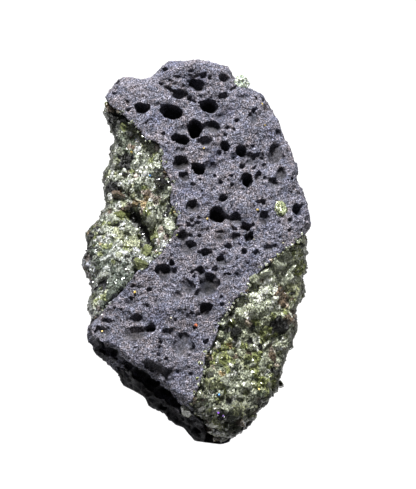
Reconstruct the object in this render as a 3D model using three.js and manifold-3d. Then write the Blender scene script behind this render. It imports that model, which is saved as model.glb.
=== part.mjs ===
// Olivine basalt specimen: a hand-sized piece of vesicular lava with two granular olivine nodules.
// Millimetres, +Z up, long axis along Y; the stone lies on its flat underside with its best side up.
import * as THREE from "three";
import { mergeVertices } from "three/addons/utils/BufferGeometryUtils.js";
import Module from "manifold-3d";

const wasm = await Module();
wasm.setup();

// ---- Main sizes ----------------------------------------------------------------------------
const CENTRE = new THREE.Vector3(-2, -3, 20); // middle of the stone, seen by every part of its skin
const SHIFT = new THREE.Vector3(3.2, 0.9, 0); // brings the middle of the stone's box over the origin
const FACE_HEIGHT = 37; // height of the best side at its middle
const FACE_RISE = 0.055; // the best side rises toward the far end, mm per mm
const LUMP_HEIGHT = 3.2; // how far the lump at the far end stands out
const GAP = 0.3; // space between a nodule or a grain and the basalt round it
const SKIN_DETAIL = 9; // fineness of the basalt's skin
const CORE_DETAIL = 5; // fineness of the nodules' skin between their grains
const GRAIN_SPACING = 5.7; // least distance between the middles of two large grains

// ---- The drawing of the best side ----------------------------------------------------------
// Everything on the best side is placed on a drawing: a across and b up, in mm, as the stone is
// seen from 815 mm away and 66 degrees above the table.
const TILT = THREE.MathUtils.degToRad(66);
const DISTANCE = 815;
const AIM_HEIGHT = 20;
const ACROSS = new THREE.Vector3(1, 0, 0);
const UP = new THREE.Vector3(0, Math.sin(TILT), Math.cos(TILT));
const TOWARD = new THREE.Vector3(0, -Math.cos(TILT), Math.sin(TILT));
const AIM = new THREE.Vector3(0, 0, AIM_HEIGHT);

// Where a point of the stone lands on the drawing.
function onDrawing(p) {
  const q = p.clone().sub(AIM);
  const scale = DISTANCE / (DISTANCE - q.dot(TOWARD));
  return [q.dot(ACROSS) * scale, q.dot(UP) * scale];
}

// The point at a given depth behind a place of the drawing (depth 0 is the aim plane).
function behindDrawing(a, b, depth) {
  const scale = (DISTANCE + depth) / DISTANCE;
  return AIM.clone()
    .addScaledVector(ACROSS, a * scale)
    .addScaledVector(UP, b * scale)
    .addScaledVector(TOWARD, -depth);
}

// The point at a given height behind a place of the drawing.
function atHeight(a, b, z) {
  const near = behindDrawing(a, b, -100), far = behindDrawing(a, b, 100);
  return near.clone().lerp(far, (z - near.z) / (far.z - near.z));
}

// Outline of the whole stone, clockwise from the left end of the raised lump.
const OUTLINE = [
  [-15.5, 51.5], [-13.5, 54], [-11, 55], [-7, 55], [-4, 55.5], [0, 55], [3.5, 54], [6.5, 53.5],
  [7.5, 51.5], [8.5, 49.5], [10, 47.5], [12.5, 47], [15.5, 45.5], [17.5, 43.5], [18.5, 41],
  [21, 37.5], [22, 34], [23, 31.5], [24.5, 29.5], [26, 25], [27, 22], [26.5, 19.5], [28, 17],
  [29.5, 13], [30.5, 9], [31, 6], [30, 3.5], [29.5, -1], [29.5, -4.5], [30.5, -7.5], [28.5, -9.5],
  [29, -13.5], [28, -17.5], [26.5, -20.5], [27, -24.5], [26, -30], [23.5, -33], [22.5, -36.5],
  [21, -40.5], [21, -43.5], [18.5, -45.5], [17.5, -48], [14.5, -50], [13, -54], [9.5, -56],
  [7, -58.5], [4, -59.5], [0, -59], [-3.5, -58.5], [-5.5, -56.5], [-7, -54.5], [-10, -53.5],
  [-14.5, -50], [-17.5, -48], [-18.5, -45.5], [-22, -43.5], [-25, -42], [-27.5, -38], [-31, -35],
  [-33.5, -32.5], [-35.5, -29.5], [-36, -26.5], [-35, -22.5], [-36, -18.5], [-34.5, -14],
  [-36, -10.5], [-38.5, -6], [-36.5, -2], [-36, 0], [-37, 3], [-33.5, 7], [-32, 9.5], [-30, 12],
  [-32, 16], [-31.5, 18.5], [-32, 19.5], [-31, 22.5], [-29.5, 25.5], [-29, 29.5], [-27, 31],
  [-29, 34], [-31, 39], [-31, 44.5], [-29, 46.5], [-28, 49], [-24.5, 50.5], [-20.5, 49.5],
  [-17.5, 50],
];

// Left nodule: its border with the basalt from the far end to the near end, closed outside the stone.
const LEFT_REGION = [
  [-31, 44], [-29.5, 41.5], [-27, 40], [-24.5, 37.5], [-22, 35.5], [-20, 33], [-18.5, 31],
  [-15.5, 30.5], [-14, 28], [-14, 24], [-11.5, 19], [-11.5, 12.5], [-9.5, 9], [-10, 4.5],
  [-11.5, 1.5], [-14.5, -3], [-17.5, -5.5], [-21, -7.5], [-23.5, -10.5], [-26, -14], [-30, -17.5],
  [-32, -20.5], [-35, -23.5], [-50, -27], [-56, -14], [-56, 0], [-56, 14], [-56, 28], [-50, 44],
];

// Right nodule: the same, from the right edge round to the near tip.
const RIGHT_REGION = [
  [30.5, 4], [28, 2], [26, 0], [23, -2], [20.5, -4], [18, -6], [15.5, -8.5], [13, -11],
  [11.5, -15], [8.5, -16.5], [7, -19], [4, -22.5], [3, -27], [1.5, -30.5], [-0.5, -33.5],
  [-1, -37.5], [-2.5, -43], [-4.5, -47], [-4, -51], [-1.5, -53], [-0.5, -56.5], [-1, -59],
  [-2, -75], [14, -77], [30, -70], [42, -56], [49, -40], [52, -24], [52, -8], [47, 5],
];

// Raised lump at the far end: its lower edge, closed beyond the far outline.
const LUMP_REGION = [
  [-15.3, 51.8], [-15, 47.9], [-12, 47], [-9, 44.6], [-5.4, 44], [-0.9, 44.4], [3.6, 44.3],
  [7.2, 47], [8.7, 49.4], [13, 66], [-20, 66],
];

// Edge where the best side breaks off toward the near side, with the height of each place on it,
// then the foot of the near tip, the right flank, the far wall and the left flank.
const WALLS = [
  [-58, -20, 33], [-35.5, -26, 33], [-34, -28.5, 33], [-31, -30, 33], [-27, -31, 33],
  [-24.5, -34, 33], [-22, -36, 33], [-18, -38, 33], [-14.5, -40.5, 33], [-11.5, -42.5, 33],
  [-9.5, -45, 33], [-7, -47, 33], [-4, -49.5, 32], [-1, -52.5, 30], [4, -54, 29], [9, -53.5, 28],
  [14, -50.5, 27], [19, -46, 26], [26, -40, 25], [60, -20, 25], [60, 30, 30], [24, 35, 30],
  [19.5, 42, 30], [13, 48, 30], [8.5, 51, 30], [5, 54.5, 30], [-2, 56.5, 30], [-11, 56, 30],
  [-16, 52, 30], [-26, 52, 30], [-33, 48, 30], [-60, 30, 30],
];

// ---- Form of the stone ---------------------------------------------------------------------
// Signed distance from a polygon on the drawing or in plan: below zero inside.
function fromPolygon(poly, x, y) {
  let best = Infinity, inside = false;
  for (let i = 0, j = poly.length - 1; i < poly.length; j = i++) {
    const [xi, yi] = poly[i], [xj, yj] = poly[j];
    const ex = xj - xi, ey = yj - yi, wx = x - xi, wy = y - yi;
    const t = THREE.MathUtils.clamp((wx * ex + wy * ey) / (ex * ex + ey * ey), 0, 1);
    best = Math.min(best, Math.hypot(wx - ex * t, wy - ey * t));
    if (yi > y !== yj > y && x < ((xj - xi) * (y - yi)) / (yj - yi) + xi) inside = !inside;
  }
  return inside ? -best : best;
}

// Distance from a straight line between two places of the drawing.
function fromLine([ax, ay], [bx, by], x, y) {
  const ex = bx - ax, ey = by - ay;
  const t = THREE.MathUtils.clamp(((x - ax) * ex + (y - ay) * ey) / (ex * ex + ey * ey), 0, 1);
  return Math.hypot(x - ax - ex * t, y - ay - ey * t);
}

// Gentle lumpiness: waves that run in many directions, with about the given length.
function waves(p, length, start) {
  let sum = 0;
  for (let i = 0; i < 12; i++) {
    const turn = 2.39996 * i + start, rise = 1 - (2 * i + 1) / 12, flat = Math.sqrt(1 - rise * rise);
    const along = p.x * flat * Math.cos(turn) + p.y * flat * Math.sin(turn) + p.z * rise;
    const step = length * (0.75 + 0.5 * ((i * 0.618) % 1));
    sum += Math.sin((2 * Math.PI * along) / step + 1.7 * i + start);
  }
  return sum / Math.sqrt(12);
}

const smooth = THREE.MathUtils.smoothstep;

// The larger of two distances, with a rounded edge where they meet.
function roundedMax(f, g, radius) {
  const near = Math.max(radius - Math.abs(f - g), 0) / radius;
  return Math.max(f, g) + (near * near * radius) / 4;
}

// Height of the best side: a gently rising face and the two nodules that lie lower. The raised
// lump stands out by `raise`; left out, that goes by whether the place is on the lump.
function faceHeight(p, a, b, raise = fromPolygon(LUMP_REGION, a, b) < 0 ? LUMP_HEIGHT : 0) {
  const left = -fromPolygon(LEFT_REGION, a, b), right = -fromPolygon(RIGHT_REGION, a, b);
  const hollow = fromLine([-23, 10], [-17.5, -0.5], a, b) / 3;
  return (
    FACE_HEIGHT + FACE_RISE * p.y + raise -
    2.4 * smooth(left, -0.3, 2.6) - 0.24 * Math.max(0, left - 2) -
    1.0 * smooth(right, -0.3, 2) - 0.46 * Math.max(0, right - 1) -
    4.5 * Math.exp(-hollow * hollow)
  );
}

const WALLS_IN_PLAN = WALLS.map(([a, b, z]) => {
  const p = atHeight(a, b, z);
  return [p.x, p.y];
});

// Signed distance (roughly) from the stone's skin: below zero inside.
function stone(p, raise) {
  const [a, b] = onDrawing(p);
  const outline = fromPolygon(OUTLINE, a, b);
  const lumps = 0.85 * waves(p, 21, 0.4) + 0.45 * waves(p, 10.5, 2.1);
  const wall = outline - 0.3 + 1.8 * Math.max(0, waves(p, 15, 5) - 0.3);
  const face = p.z - faceHeight(p, a, b, raise) + 0.8 * lumps;
  const sides = fromPolygon(WALLS_IN_PLAN, p.x, p.y) + 1.2 * Math.max(lumps, -0.6);
  // The flanks draw in toward the underside, less so at the near side, whose foot is seen.
  const nearSide = smooth(-b, 22, 46) * smooth(-a, -12, 6);
  const belt = 17 + 3.5 * Math.sin(p.y / 13) - 9 * nearSide;
  const below = 1 - p.z / belt;
  const inset = below > 0 ? (17 - 10 * nearSide) * below ** 1.6 : 10 * below;
  const taper = outline - 2 + inset + 1.1 * lumps;
  // The underside is flat round its middle and rises in lumps outside that.
  const out = Math.max(0, Math.hypot(p.x / 19, p.y / 34) - 1);
  const underside = 5 * out * out + 6 * out * smooth(lumps, -1, 1) - p.z;
  const top = roundedMax(roundedMax(wall, face, 4), sides, 2.5);
  const blend = 1.5 * Math.min(1, out * 4) + 1e-6; // none over the flat part
  return Math.max(roundedMax(roundedMax(top, taper, 5), underside, blend), -p.z);
}

// A way out of the stone's inside: it starts on a flat disc inside the stone and runs outward.
function wayOut(u, t) {
  return new THREE.Vector3(u.x * (24 + t), u.y * (48 + t), u.z * 4 * t).add(CENTRE);
}

// Place where a way out crosses the skin of a form.
function crossing(form, u) {
  let inside = 0, outside = 0.5;
  while (form(wayOut(u, outside)) < 0) {
    inside = outside;
    outside += 0.5;
  }
  for (let i = 0; i < 24; i++) {
    const middle = (inside + outside) / 2;
    if (form(wayOut(u, middle)) < 0) inside = middle;
    else outside = middle;
  }
  return wayOut(u, inside);
}

// Skin of a form: a ball of triangles whose points are moved out until they lie on it.
function skin(form, detail) {
  const body = bare(new THREE.IcosahedronGeometry(1, detail));
  const place = body.getAttribute("position");
  for (let i = 0; i < place.count; i++) {
    const at = crossing(form, new THREE.Vector3().fromBufferAttribute(place, i));
    place.setXYZ(i, at.x, at.y, at.z);
  }
  return body;
}

// Point of the stone's skin that shows at a place of the drawing.
function seen(a, b) {
  let depth = -45;
  while (stone(behindDrawing(a, b, depth)) > 0 && depth < 60) depth += 0.25;
  return behindDrawing(a, b, depth);
}

// Way out of the stone at a point of its skin.
function outward(form, p) {
  const e = 0.8, step = (x, y, z) => form(p.clone().add(new THREE.Vector3(x, y, z)));
  return new THREE.Vector3(
    step(e, 0, 0) - step(-e, 0, 0), step(0, e, 0) - step(0, -e, 0), step(0, 0, e) - step(0, 0, -e),
  ).normalize();
}

// ---- Gas pits ------------------------------------------------------------------------------
// Each pit is a gas bubble cut open by the skin: middle and size of its mouth on the drawing.
const DEEP_PITS = [
  [5.1, 50.1, 3.9, 2.1], [-8.7, 45.4, 4.2, 2.1], [-19.8, 41.1, 4.5, 2.7], [-11.1, 40, 5.7, 3.6],
  [0.1, 41.8, 4.8, 3.3], [-3.9, 34.9, 4.5, 3.9], [1.2, 35.8, 4.8, 2.7], [-8.4, 31.6, 4.8, 3],
  [5, 29.8, 2.7, 2.4], [10, 28, 3, 2.7], [20.4, 28.6, 3.9, 4.5], [-3, 23.1, 4.2, 3.3],
  [11.7, 19.5, 3, 3.6], [-4.5, 12, 3.9, 2.4], [2.8, 9.2, 4.2, 3.6], [8.4, 8.2, 3.6, 2.4],
  [26.6, 10.6, 2.7, 2.4], [-0.9, -2.2, 3.3, 1.8], [0.3, -10.9, 6, 4.2], [-6.3, -11.8, 4.5, 3],
  [-13.2, -7.6, 4.5, 3], [-17.1, -35.5, 4.8, 1.8],
];
const HALF_PITS = [
  [-3.3, 48.1, 5.1, 2.4], [-7.8, 35.1, 3.9, 1.8], [12.9, 26.2, 3.3, 2.4], [13.8, 38.8, 2.4, 3],
  [17.4, 40.9, 2.1, 3.6], [-8.1, 25.3, 5.1, 3], [-7.2, 21.1, 3, 2.4], [0.9, 23.8, 4.2, 2.1],
  [16.8, 8.5, 2.7, 2.7], [-6, -0.4, 4.5, 2.7], [-9.3, -14.5, 3.6, 2.1], [-0.6, -19, 3.6, 3],
  [-22.9, -16.8, 3.6, 1.8],
];
const SHALLOW_PITS = [
  [-0.9, 27.8, 4.2, 1.8], [5.1, 38.5, 3.6, 2.4], [10.8, 44.5, 4.5, 2.4], [19.8, 18.1, 3.9, 3.6],
  [3.9, 2.2, 3.3, 3.6], [5.7, -9.8, 3.6, 2.4], [-15, -17.2, 3, 2.1], [-21.9, -26.8, 6.3, 4.2],
  [-8.1, -30.1, 5.1, 7.2], [-31.2, -26.6, 6.6, 3.6],
];
// Black hollows in the near side, under the broken edge.
const NEAR_HOLLOWS = [[-29, -32.5, 8, 3.2], [-19.5, -40.5, 10.5, 5]];
// Pits in the flanks and the far side: degrees round the stone from +X, rise, radius.
const SIDE_PITS = [
  [20, 0.1, 2.3], [43, -0.3, 1.8], [72, 0.15, 2.6], [97, -0.25, 2], [124, 0.2, 2.2], [214, -0.2, 2],
];

// ---- Solids --------------------------------------------------------------------------------
function bare(geometry) {
  geometry.deleteAttribute("normal");
  geometry.deleteAttribute("uv");
  return mergeVertices(geometry, 1e-5);
}

function solid(geometry) {
  return new wasm.Manifold(new wasm.Mesh({
    numProp: 3,
    vertProperties: new Float32Array(geometry.getAttribute("position").array),
    triVerts: new Uint32Array(geometry.index.array),
  }));
}

// A ball or crystal of the given half sizes, with its axes along three given directions.
function placed(geometry, at, x, y, z, [rx, ry, rz]) {
  const frame = new THREE.Matrix4().makeBasis(
    x.clone().multiplyScalar(rx), y.clone().multiplyScalar(ry), z.clone().multiplyScalar(rz),
  );
  return solid(bare(geometry).applyMatrix4(frame.setPosition(at)));
}

// A bubble behind the mouth of a pit; `sink` says how far its middle lies below the skin. Large
// pits are round inside, small ones are six-sided bowls.
function pit([a, b, width, height], deepness, sink) {
  const size = (width + height) / 4, at = seen(a, b);
  if (width * height > 11) {
    const fine = width * height > 24 ? 1 : 0, mouth = (fine ? 1.04 : 1.15) / Math.sqrt(1 - sink * sink);
    const middle = at.addScaledVector(TOWARD, -sink * size * deepness);
    return placed(new THREE.IcosahedronGeometry(1, fine), middle, ACROSS, UP, TOWARD,
      [(width / 2) * mouth, (height / 2) * mouth, size * deepness]);
  }
  const depth = size * deepness * (1 + sink) * 0.9 + 1;
  return placed(new THREE.CylinderGeometry(1.1, 0.6, 1, 6, 1), at.addScaledVector(TOWARD, 1 - depth / 2),
    ACROSS, TOWARD, UP.clone().negate(), [width / 2, depth, height / 2]);
}

function sidePit([degrees, rise, radius]) {
  const turn = THREE.MathUtils.degToRad(degrees), flat = Math.sqrt(1 - rise * rise);
  const at = crossing(stone, new THREE.Vector3(flat * Math.cos(turn), flat * Math.sin(turn), rise));
  return placed(new THREE.IcosahedronGeometry(1, 0), at, ACROSS, UP, TOWARD, [radius, radius, radius]);
}

// Polygon moved outward by a distance.
function grown(poly, by) {
  const turn = Math.sign(THREE.ShapeUtils.area(poly.map(([x, y]) => new THREE.Vector2(x, y))));
  return poly.map(([x, y], i) => {
    const [px, py] = poly.at(i - 1), [nx, ny] = poly[(i + 1) % poly.length];
    const before = new THREE.Vector2(y - py, px - x).normalize();
    const after = new THREE.Vector2(ny - y, x - nx).normalize();
    const out = before.add(after).normalize();
    const reach = (by * turn) / Math.max(0.5, out.dot(after));
    return [x + out.x * reach, y + out.y * reach];
  });
}

// The room a nodule takes up: its region of the drawing, from above the stone down to its floor.
function room(region, floor, by) {
  const shape = new THREE.Shape(grown(region, by).map(([a, b]) => new THREE.Vector2(a, b)));
  const block = bare(new THREE.ExtrudeGeometry(shape, { depth: 1, steps: 1, bevelEnabled: false }));
  const place = block.getAttribute("position");
  for (let i = 0; i < place.count; i++) {
    const at = atHeight(place.getX(i), place.getY(i), place.getZ(i) > 0.5 ? 60 : -5);
    place.setXYZ(i, at.x, at.y, at.z);
  }
  const ground = bare(new THREE.BoxGeometry(200, 200, 1, 1, 25, 1));
  const level = ground.getAttribute("position");
  for (let i = 0; i < level.count; i++) {
    level.setZ(i, level.getZ(i) > 0 ? Math.min(50, floor(0.91 * level.getY(i) - 2)) - 2 * by : -30);
  }
  return wasm.Manifold.difference(solid(block), solid(ground));
}

const leftFloor = (b) => 4 + 22 * Math.abs((b - 10) / 38) ** 3;
const rightFloor = (b) => 4 + 18 * smooth(b, -22, 5) + 9 * smooth(-b, 42, 60);

// The same fixed row of chance numbers each time.
let state = 7;
function chance(low, high) {
  state = (state * 48271) % 2147483647;
  return low + ((high - low) * state) / 2147483647;
}

// A nodule: a core that lies a little below the stone's skin, covered with grown-together grains.
const core = (p) => stone(p) + 1.9;
const coreSolid = solid(skin(core, CORE_DETAIL));

function grain(at, radius) {
  const turn = new THREE.Matrix4().makeRotationFromEuler(
    new THREE.Euler(chance(0, 3), chance(0, 3), chance(0, 3)),
  );
  const x = new THREE.Vector3(), y = new THREE.Vector3(), z = new THREE.Vector3();
  turn.extractBasis(x, y, z);
  const blocky = chance(0, 1) < 0.35;
  const geometry = blocky ? new THREE.BoxGeometry(1.4, 1.4, 1.4) : new THREE.IcosahedronGeometry(1, 0);
  const sides = [chance(0.85, 1), chance(0.9, 1.05), chance(1, 1.15)];
  return placed(geometry, at, x, y, z, sides.map((side) => side * radius));
}

// Middles of the large grains, spread over the skin of both nodules.
const middles = [];
for (let i = 0; i < 7000; i++) {
  const rise = chance(-0.8, 1), turn = chance(0, 6.283), flat = Math.sqrt(1 - rise * rise);
  const at = crossing(core, new THREE.Vector3(flat * Math.cos(turn), flat * Math.sin(turn), rise));
  const [a, b] = onDrawing(at);
  const inLeft = fromPolygon(LEFT_REGION, a, b) < 0 && at.z > leftFloor(b) - 1;
  const inRight = fromPolygon(RIGHT_REGION, a, b) < 0 && at.z > rightFloor(b) - 1;
  if ((inLeft || inRight) && middles.every((m) => m.distanceTo(at) > GRAIN_SPACING)) middles.push(at);
}

function nodule(region, floor) {
  const own = middles.filter((m) => fromPolygon(region, ...onDrawing(m)) < 0);
  const grains = own.map((at) => {
    const radius = chance(3.2, 4.6);
    return grain(at.clone().addScaledVector(outward(core, at), -0.6 * radius), radius);
  });
  return wasm.Manifold.intersection(wasm.Manifold.union([coreSolid, ...grains]), room(region, floor, 0));
}

const leftNodule = nodule(LEFT_REGION, leftFloor);
const rightNodule = nodule(RIGHT_REGION, rightFloor);

// Two single grains that sit in the basalt: one in the best side, one at the far edge.
function loneGrain([a, b], depth, [rx, ry, rz], lean, by) {
  const at = seen(a, b).addScaledVector(TOWARD, -depth);
  const x = ACROSS.clone().applyAxisAngle(TOWARD, lean), y = UP.clone().applyAxisAngle(TOWARD, lean);
  return placed(new THREE.DodecahedronGeometry(1, 0), at, x, y, TOWARD, [rx + by, ry + by, rz + by]);
}
const faceGrain = (by) => loneGrain([22, 10.2], 0.9, [1.9, 2.9, 2], 0.2, by);
const topGrain = (by) => placed(
  new THREE.DodecahedronGeometry(1, 0), atHeight(10, 48.2, 35.5), ACROSS, UP, TOWARD,
  [2.3 + by, 2.6 + by, 2.6 + by],
);

const body = solid(skin((p) => stone(p, 0), SKIN_DETAIL));
const raised = solid(skin((p) => stone(p, LUMP_HEIGHT) - 0.5, CORE_DETAIL + 3));
const lump = wasm.Manifold.intersection(raised, room(LUMP_REGION, () => 33, 0));

const basalt = wasm.Manifold.difference([
  wasm.Manifold.union(body, lump),
  room(LEFT_REGION, leftFloor, GAP),
  room(RIGHT_REGION, rightFloor, GAP),
  faceGrain(GAP * 1.3),
  topGrain(GAP * 1.3),
  ...DEEP_PITS.map((mouth) => pit(mouth, 1.3, 0.35)),
  ...HALF_PITS.map((mouth) => pit(mouth, 1.1, 0.05)),
  ...SHALLOW_PITS.map((mouth) => pit(mouth, 0.9, -0.45)),
  ...NEAR_HOLLOWS.map((mouth) => pit(mouth, 1.1, 0)),
  ...SIDE_PITS.map(sidePit),
]);

// ---- The part ------------------------------------------------------------------------------
const part = new THREE.Group();
part.name = "olivine_basalt_specimen";

function add(name, body, material) {
  const mesh = body.translate([SHIFT.x, SHIFT.y, SHIFT.z]).getMesh();
  const geometry = new THREE.BufferGeometry();
  geometry.setAttribute("position", new THREE.BufferAttribute(new Float32Array(mesh.vertProperties), 3));
  geometry.setIndex(new THREE.BufferAttribute(new Uint32Array(mesh.triVerts), 1));
  const shown = geometry.toNonIndexed();
  shown.computeVertexNormals();
  const node = new THREE.Mesh(shown, new THREE.MeshStandardMaterial(material));
  node.name = name;
  part.add(node);
}

add("basalt", basalt, { color: 0x4d4a55, roughness: 0.9, metalness: 0 });
add("olivine_nodule_left", leftNodule, { color: 0x76845a, roughness: 0.4, metalness: 0 });
add("olivine_nodule_right", rightNodule, { color: 0x76845a, roughness: 0.4, metalness: 0 });
add("olivine_grain_face", faceGrain(0), { color: 0xa9b27a, roughness: 0.25, metalness: 0 });
add("olivine_grain_top", topGrain(0), { color: 0xb9c3a6, roughness: 0.2, metalness: 0 });

export default part;
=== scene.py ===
"""Olivine basalt specimen: a hand-sized piece of vesicular lava with two granular olivine nodules."""

import math

import bpy
import numpy as np
from mathutils import Euler, Matrix, Vector
from mathutils.bvhtree import BVHTree
from mathutils.kdtree import KDTree


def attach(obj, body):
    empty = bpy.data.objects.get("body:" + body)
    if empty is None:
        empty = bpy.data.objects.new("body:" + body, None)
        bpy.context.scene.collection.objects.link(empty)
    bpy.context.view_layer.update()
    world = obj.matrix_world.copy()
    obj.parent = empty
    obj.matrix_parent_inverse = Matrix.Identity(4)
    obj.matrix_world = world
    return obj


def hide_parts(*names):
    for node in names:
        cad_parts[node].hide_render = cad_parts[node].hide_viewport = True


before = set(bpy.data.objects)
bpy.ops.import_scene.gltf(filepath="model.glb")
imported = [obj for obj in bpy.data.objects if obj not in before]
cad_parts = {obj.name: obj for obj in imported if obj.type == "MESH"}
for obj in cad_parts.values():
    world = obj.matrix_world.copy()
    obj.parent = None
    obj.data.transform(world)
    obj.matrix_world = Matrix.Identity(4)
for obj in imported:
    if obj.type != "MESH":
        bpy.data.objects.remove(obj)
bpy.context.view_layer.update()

# ---- Camera --------------------------------------------------------------------------------------
# The stone lies on its back and is seen from 815 mm away, 66 degrees above the table. Places on its
# best side are given on that view, across and up from the aim point.
MM = 0.001
TILT = math.radians(66)
DISTANCE = 815 * MM
AIM = np.array([0, 0, 20]) * MM
SHIFT = np.array([3.2, 0.9, 0]) * MM  # from the aim point's frame to the middle of the stone's box
ACROSS = np.array([1, 0, 0])
UP = np.array([0, math.sin(TILT), math.cos(TILT)])
TOWARD = np.array([0, -math.cos(TILT), math.sin(TILT)])
LENS, SENSOR = 200, 36  # the stone's 120 mm fill four fifths of the view's height

bpy.ops.object.camera_add(location=AIM + SHIFT + DISTANCE * TOWARD)
camera = bpy.context.object
camera.rotation_euler = (math.pi / 2 - TILT, 0, 0)
camera.data.lens, camera.data.sensor_width = LENS, SENSOR
camera.data.clip_start, camera.data.clip_end = 0.05, 20
bpy.context.scene.camera = camera


# ---- Form of the stone ---------------------------------------------------------------------------
# A broken lava block: an even best side that rises to a raised lump at the far end, a steep near side,
# flanks that draw in toward a flat underside. The nodules lie a little lower than the lava round them.
FACE_HEIGHT = 37 * MM
FACE_RISE = 0.055  # the best side rises toward the far end, per length
LUMP_HEIGHT = 3.2 * MM
LEFT_DROP, RIGHT_DROP = 2.4 * MM, 1.0 * MM  # how far each nodule lies below the lava round it
LEFT_SLOPE, RIGHT_SLOPE = 0.24, 0.46  # and how steeply it falls away from there
FURROW_START, FURROW_END = np.array([-22.5, 8.8]) * MM, np.array([-17.5, -0.5]) * MM
FURROW_DEPTH, FURROW_WIDTH = 4.5 * MM, 3 * MM  # of the furrow that runs between them in the left nodule
FACE_EDGE, SIDE_EDGE, FOOT_EDGE = 4 * MM, 1.2 * MM, 5 * MM  # how round the stone's edges are
MIDDLE = np.array([-2, -3, 20]) * MM  # inside the stone; all of its skin can be reached from there
START_DISC = np.array([24, 48, 0]) * MM  # half the size of the flat disc where the ways out start

OUTLINE = MM * np.array([
    [-15.5, 51.5], [-13.5, 54], [-11, 55], [-7, 55], [-4, 55.5], [0, 55], [3.5, 54], [6.5, 53.5],
    [7.5, 51.5], [8.5, 49.5], [10, 47.5], [12.5, 47], [15.5, 45.5], [17.5, 43.5], [18.5, 41],
    [21, 37.5], [22, 34], [23, 31.5], [24.5, 29.5], [26, 25], [27, 22], [26.5, 19.5], [28, 17],
    [29.5, 13], [30.5, 9], [31, 6], [30, 3.5], [29.5, -1], [29.5, -4.5], [30.5, -7.5], [28.5, -9.5],
    [29, -13.5], [28, -17.5], [26.5, -20.5], [27, -24.5], [26, -30], [23.5, -33], [22.5, -36.5],
    [21, -40.5], [21, -43.5], [18.5, -45.5], [17.5, -48], [14.5, -50], [13, -54], [9.5, -56],
    [7, -58.5], [4, -59.5], [0, -59], [-3.5, -58.5], [-5.5, -56.5], [-7, -54.5], [-10, -53.5],
    [-14.5, -50], [-17.5, -48], [-18.5, -45.5], [-22, -43.5], [-25, -42], [-27.5, -38], [-31, -35],
    [-33.5, -32.5], [-35.5, -29.5], [-36, -26.5], [-35, -22.5], [-36, -18.5], [-34.5, -14],
    [-36, -10.5], [-38.5, -6], [-36.5, -2], [-36, 0], [-37, 3], [-33.5, 7], [-32, 9.5], [-30, 12],
    [-32, 16], [-31.5, 18.5], [-32, 19.5], [-31, 22.5], [-29.5, 25.5], [-29, 29.5], [-27, 31],
    [-29, 34], [-31, 39], [-31, 44.5], [-29, 46.5], [-28, 49], [-24.5, 50.5], [-20.5, 49.5],
    [-17.5, 50],
])
LEFT_REGION = MM * np.array([
    [-31, 44], [-29.5, 41.5], [-27, 40], [-24.5, 37.5], [-22, 35.5], [-20, 33], [-18.5, 31],
    [-15.5, 30.5], [-14, 28], [-14, 24], [-11.5, 19], [-11.5, 12.5], [-9.5, 9], [-10, 4.5],
    [-11.5, 1.5], [-14.5, -3], [-17.5, -5.5], [-21, -7.5], [-23.5, -10.5], [-26, -14], [-30, -17.5],
    [-32, -20.5], [-35, -23.5], [-50, -27], [-56, -14], [-56, 0], [-56, 14], [-56, 28], [-50, 44],
])
RIGHT_REGION = MM * np.array([
    [30.5, 4], [28, 2], [26, 0], [23, -2], [20.5, -4], [18, -6], [15.5, -8.5], [13, -11],
    [11.5, -15], [8.5, -16.5], [7, -19], [4, -22.5], [3, -27], [1.5, -30.5], [-0.5, -33.5],
    [-1, -37.5], [-2.5, -43], [-4.5, -47], [-4, -51], [-1.5, -53], [-0.5, -56.5], [-1, -59],
    [-2, -75], [14, -77], [30, -70], [42, -56], [49, -40], [52, -24], [52, -8], [47, 5],
])
LUMP_REGION = MM * np.array([
    [-15.3, 51.8], [-15, 47.9], [-12, 47], [-9, 44.6], [-5.4, 44], [-0.9, 44.4], [3.6, 44.3],
    [7.2, 47], [8.7, 49.4], [13, 66], [-20, 66],
])
# The edge where the best side breaks off toward the near side, then the foot of the near tip, the
# right flank, the far wall and the left flank: across, up, and the height of each place.
WALLS = MM * np.array([
    [-58, -20, 33], [-35.5, -26, 33], [-34, -28.5, 33], [-31, -30, 33], [-27, -31, 33],
    [-24.5, -34, 33], [-22, -36, 33], [-18, -38, 33], [-14.5, -40.5, 33], [-11.5, -42.5, 33],
    [-9.5, -45, 33], [-7, -47, 33], [-4, -49.5, 32], [-1, -52.5, 30], [4, -54, 29], [9, -53.5, 28],
    [14, -50.5, 27], [19, -46, 26], [26, -40, 25], [60, -20, 25], [60, 30, 30], [26, 36, 30],
    [21, 43, 30], [14, 49, 30], [8.5, 51, 30], [5, 54.5, 30], [-2, 56.5, 30], [-11, 56, 30],
    [-16, 52, 30], [-26, 52, 30], [-33, 48, 30], [-60, 30, 30],
])


def on_view(places):
    """Where points of the stone land on the view."""
    from_aim = places - AIM
    scale = DISTANCE / (DISTANCE - from_aim @ TOWARD)
    return from_aim @ ACROSS * scale, from_aim @ UP * scale


def behind_view(a, b, depth):
    """The points at given depths behind places of the view."""
    a, b, depth = (np.asarray(v, float)[..., None] for v in (a, b, depth))
    scale = (DISTANCE + depth) / DISTANCE
    return AIM + ACROSS * a * scale + UP * b * scale - TOWARD * depth


def at_height(a, b, height):
    """The points at given heights behind places of the view."""
    near, far = behind_view(a, b, 0 * a - 100 * MM), behind_view(a, b, 0 * a + 100 * MM)
    share = (height - near[..., 2]) / (far[..., 2] - near[..., 2])
    return near + (far - near) * share[..., None]


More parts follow.
